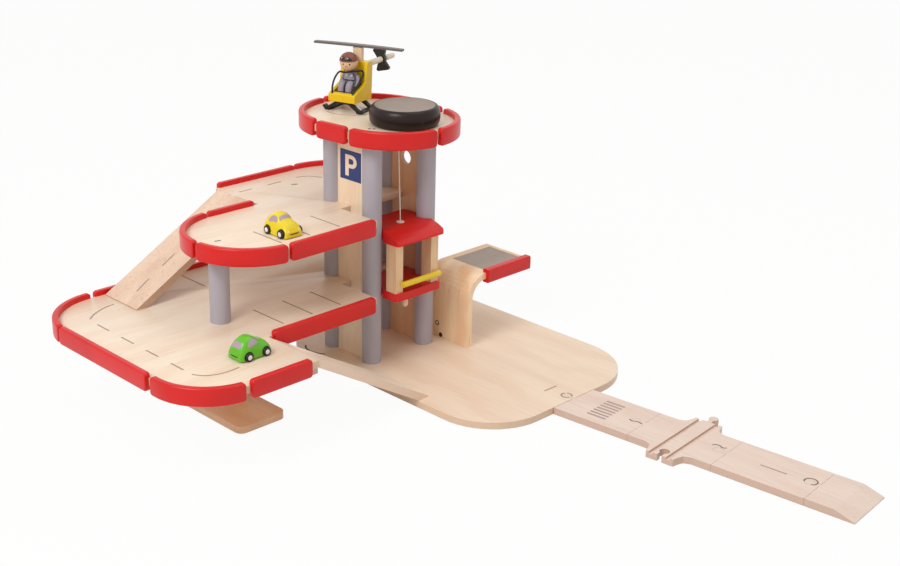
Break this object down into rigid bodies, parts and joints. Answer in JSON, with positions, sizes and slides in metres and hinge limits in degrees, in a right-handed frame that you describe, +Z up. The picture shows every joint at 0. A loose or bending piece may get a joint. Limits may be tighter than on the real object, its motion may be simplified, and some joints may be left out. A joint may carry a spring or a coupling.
{
  "type": "toy parking garage with lift",
  "caption": "Wooden toy garage on a base board: a pillared tower with a hand-wound lift, curved decks joined by ramps, red edge rails, a canopy, a helicopter, toy cars and a road strip.",
  "frame": {"origin": "on the floor under the centre of the lift tower, at the underside of the base plate", "axes": "+X along the base plate towards the road strip, +Y across the base plate towards the canopy, +Z up"},
  "size_m": [0.9574, 0.702, 0.4541],
  "materials": {
    "pale_plywood": "satin, clear varnish",
    "road_wood": "satin, clear varnish",
    "red_paint": "gloss red lacquer",
    "grey_paint": "matt grey-lilac paint",
    "brown_wood": "satin, brown stain",
    "black_gloss": "gloss black-brown lacquer",
    "white_cord": "braided cord",
    "yellow_paint": "gloss yellow lacquer",
    "green_lacquer": "gloss green lacquer",
    "yellow_lacquer": "gloss yellow lacquer",
    "black_rubber": "matt",
    "dark_plastic": "satin dark grey-brown",
    "black_plastic": "satin black",
    "cream_wood": "satin cream",
    "pilot_paint": "painted peg figure"
  },
  "bodies": {
    "garage": {"base_plate": "pale_plywood", "pillar_left": "grey_paint", "pillar_front": "grey_paint", "pillar_right": "grey_paint", "pillar_rear": "grey_paint", "sign_panel": "pale_plywood", "back_panel": "pale_plywood", "upper_deck": "pale_plywood", "upper_pillar": "grey_paint", "upper_rail_back": "red_paint", "upper_rail_back_curve": "red_paint", "upper_rail_inner": "red_paint", "upper_rail_left_curve": "red_paint", "upper_rail_front_curve": "red_paint", "upper_rail_front": "red_paint", "lower_deck": "pale_plywood", "lower_rail_left": "red_paint", "lower_rail_left_curve": "red_paint", "lower_rail_front_curve": "red_paint", "lower_rail_front": "red_paint", "lower_rail_shaft": "red_paint", "lower_rail_back": "red_paint", "lower_rail_back_curve": "red_paint", "long_ramp": "pale_plywood", "lower_ramp": "pale_plywood", "foot_stand": "brown_wood", "top_deck": "pale_plywood", "top_rail_right_curve": "red_paint", "top_rail_back": "red_paint", "top_rail_back_curve": "red_paint", "top_rail_left_curve": "red_paint", "top_rail_front": "red_paint", "top_rail_front_curve": "red_paint", "lift_cord": "white_cord", "station_canopy": "pale_plywood", "station_fascia": "red_paint"},
    "lift_car": {"lift_floor": "red_paint", "lift_roof": "red_paint", "lift_post_front": "pale_plywood", "lift_post_right": "pale_plywood"},
    "lift_gate": {"gate_bar": "yellow_paint"},
    "winch": {"winch_disc": "black_gloss"},
    "helicopter": {"heli_seat": "yellow_paint", "heli_mast": "pale_plywood", "heli_tail_boom": "cream_wood", "heli_skids": "black_plastic", "heli_pilot": "pilot_paint", "heli_hoop": "black_plastic"},
    "main_rotor": {"heli_rotor": "dark_plastic"},
    "tail_rotor": {"heli_tail_rotor": "black_plastic"},
    "green_car": {"green_car_body": "green_lacquer"},
    "green_front_axle": {"green_car_wheels_front": "black_rubber"},
    "green_rear_axle": {"green_car_wheels_rear": "black_rubber"},
    "yellow_car": {"yellow_car_body": "yellow_lacquer"},
    "yellow_front_axle": {"yellow_car_wheels_front": "black_rubber"},
    "yellow_rear_axle": {"yellow_car_wheels_rear": "black_rubber"},
    "zebra_road": {"road_zebra": "road_wood"},
    "crossing_road": {"road_rail_crossing": "road_wood"},
    "straight_road": {"road_straight": "road_wood"},
    "end_road": {"road_end_ramp": "road_wood"}
  },
  "joints": [
    {"name": "winch_turn", "type": "hinge", "parent": "garage", "child": "winch", "pos_m": [0.0475, 0.003, 0.372], "axis": [0, 0, 1], "range_deg": [-480, 712]},
    {"name": "lift_slide", "type": "slide", "parent": "garage", "child": "lift_car", "axis": [0, 0, 1], "range_m": [-0.0875, 0.13], "deforming": ["lift_cord"]},
    {"name": "gate_hinge", "type": "hinge", "parent": "lift_car", "child": "lift_gate", "pos_m": [0.0849, 0.035, 0.136], "axis": [-1, 0, 0], "range_deg": [0, 45]},
    {"name": "helicopter_lift_off", "type": "slide", "parent": "garage", "child": "helicopter", "axis": [0, 0, 1], "range_m": [0, 0.08]},
    {"name": "main_rotor_spin", "type": "hinge", "parent": "helicopter", "child": "main_rotor", "pos_m": [-0.0671, 0.018, 0.4505], "axis": [0, 0, 1], "continuous": true},
    {"name": "tail_rotor_spin", "type": "hinge", "parent": "helicopter", "child": "tail_rotor", "pos_m": [-0.08846, 0.08449, 0.4165], "axis": [-0.2756, 0.9613, 0], "continuous": true},
    {"name": "green_rear_axle_turn", "type": "hinge", "parent": "green_car", "child": "green_rear_axle", "pos_m": [0.113, -0.342, 0.13065], "axis": [-1, 0, 0], "continuous": true},
    {"name": "green_front_axle_turn", "type": "hinge", "parent": "green_car", "child": "green_front_axle", "pos_m": [0.113, -0.314, 0.13065], "axis": [-1, 0, 0], "continuous": true},
    {"name": "green_car_roll", "type": "slide", "parent": "garage", "child": "green_car", "axis": [0, 1, 0], "range_m": [-0.08, 0.026]},
    {"name": "yellow_rear_axle_turn", "type": "hinge", "parent": "yellow_car", "child": "yellow_rear_axle", "pos_m": [0.017, -0.205, 0.24515], "axis": [0, 1, 0], "continuous": true},
    {"name": "yellow_front_axle_turn", "type": "hinge", "parent": "yellow_car", "child": "yellow_front_axle", "pos_m": [0.045, -0.205, 0.24515], "axis": [0, 1, 0], "continuous": true},
    {"name": "yellow_car_roll", "type": "slide", "parent": "garage", "child": "yellow_car", "axis": [1, 0, 0], "range_m": [-0.08, 0.014]},
    {"name": "zebra_road_lift_off", "type": "slide", "parent": "garage", "child": "zebra_road", "axis": [0, 0, 1], "range_m": [0, 0.03]},
    {"name": "crossing_road_lift_off", "type": "slide", "parent": "garage", "child": "crossing_road", "axis": [0, 0, 1], "range_m": [0, 0.03]},
    {"name": "straight_road_lift_off", "type": "slide", "parent": "garage", "child": "straight_road", "axis": [0, 0, 1], "range_m": [0, 0.03]},
    {"name": "end_road_lift_off", "type": "slide", "parent": "garage", "child": "end_road", "axis": [0, 0, 1], "range_m": [0, 0.03]}
  ],
  "couplings": [
    {"joint": "lift_slide", "follows": "winch_turn", "m_per_rad": 0.010308}
  ]
}
